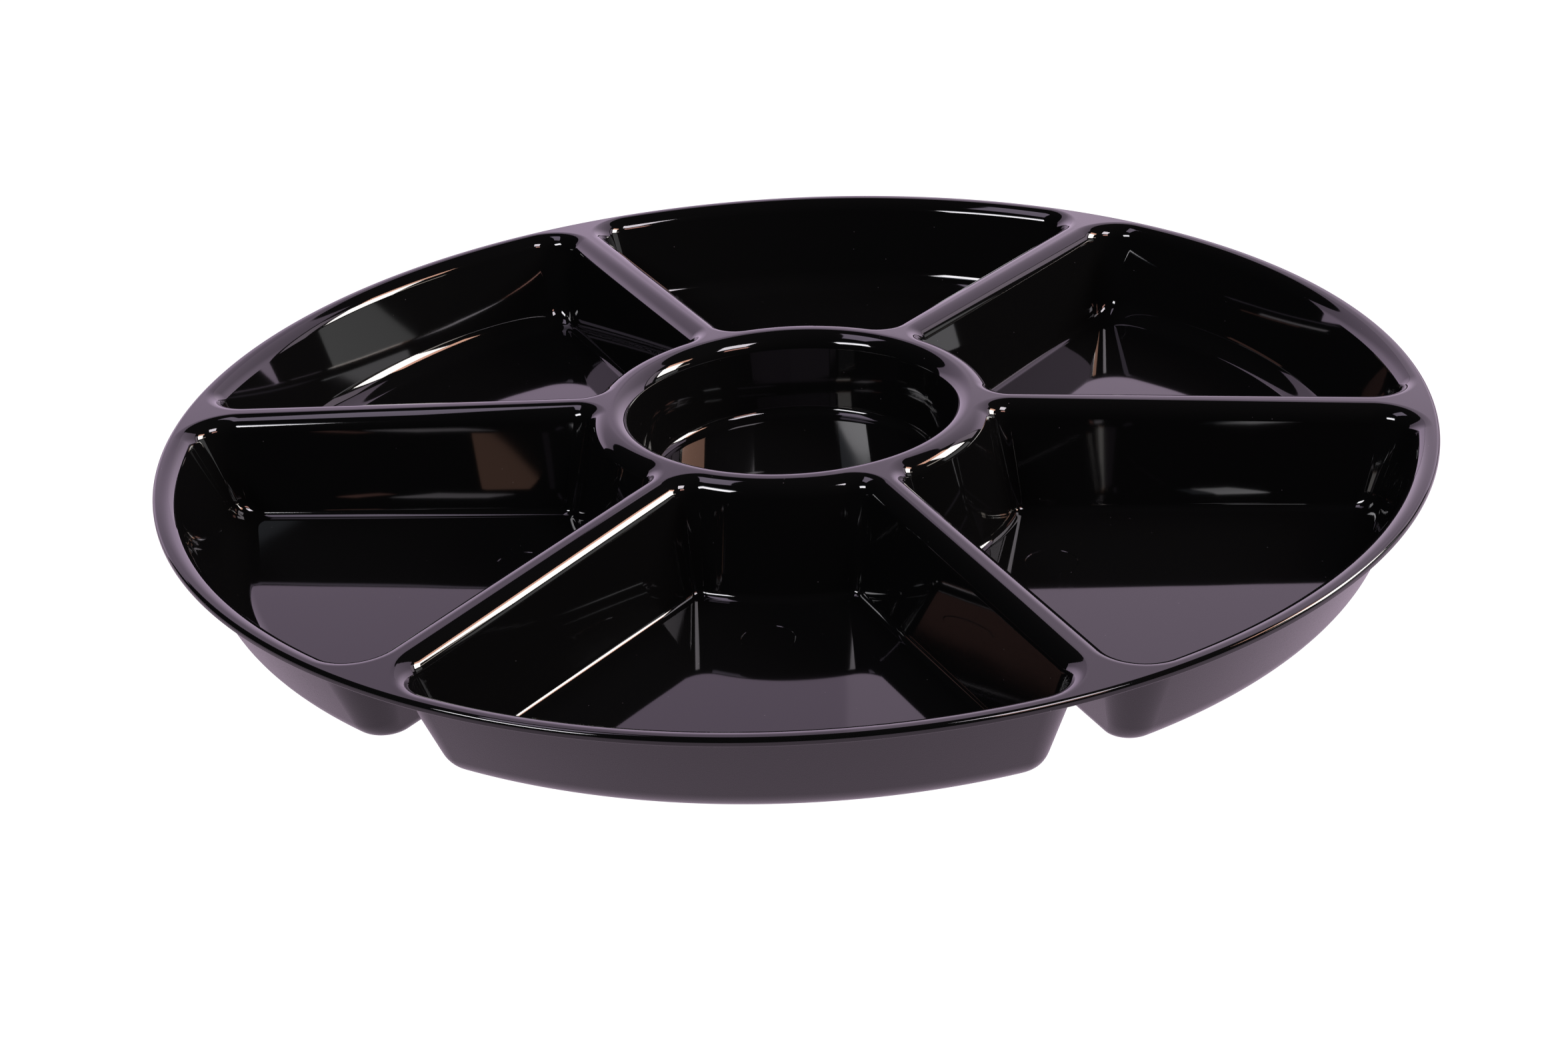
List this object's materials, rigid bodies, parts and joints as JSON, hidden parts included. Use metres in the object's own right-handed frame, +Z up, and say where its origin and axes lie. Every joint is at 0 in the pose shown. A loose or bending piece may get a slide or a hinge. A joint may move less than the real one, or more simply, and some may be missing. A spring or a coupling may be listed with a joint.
{
  "type": "compartment serving tray",
  "caption": "Round black plastic serving tray moulded in one piece, with wedge pans set round a centre dip cup, divided by hollow ribs and edged by a narrow rim",
  "frame": {"origin": "on the surface the tray stands on, under the centre of the cup", "axes": "+Z up along the cup's axis, -Y towards the middle of pan_front, +X along divider_right"},
  "size_m": [0.3048, 0.3048, 0.028],
  "materials": {
    "tray_plastic": "mirror gloss inside and on top, satin underneath and outside"
  },
  "bodies": {
    "root": {"rim_flange": "tray_plastic", "hub_ring": "tray_plastic", "centre_cup": "tray_plastic", "divider_right": "tray_plastic", "divider_back_right": "tray_plastic", "divider_back_left": "tray_plastic", "divider_left": "tray_plastic", "divider_front_left": "tray_plastic", "divider_front_right": "tray_plastic", "pan_front": "tray_plastic", "pan_front_right": "tray_plastic", "pan_back_right": "tray_plastic", "pan_back": "tray_plastic", "pan_back_left": "tray_plastic", "pan_front_left": "tray_plastic"}
  },
  "joints": []
}
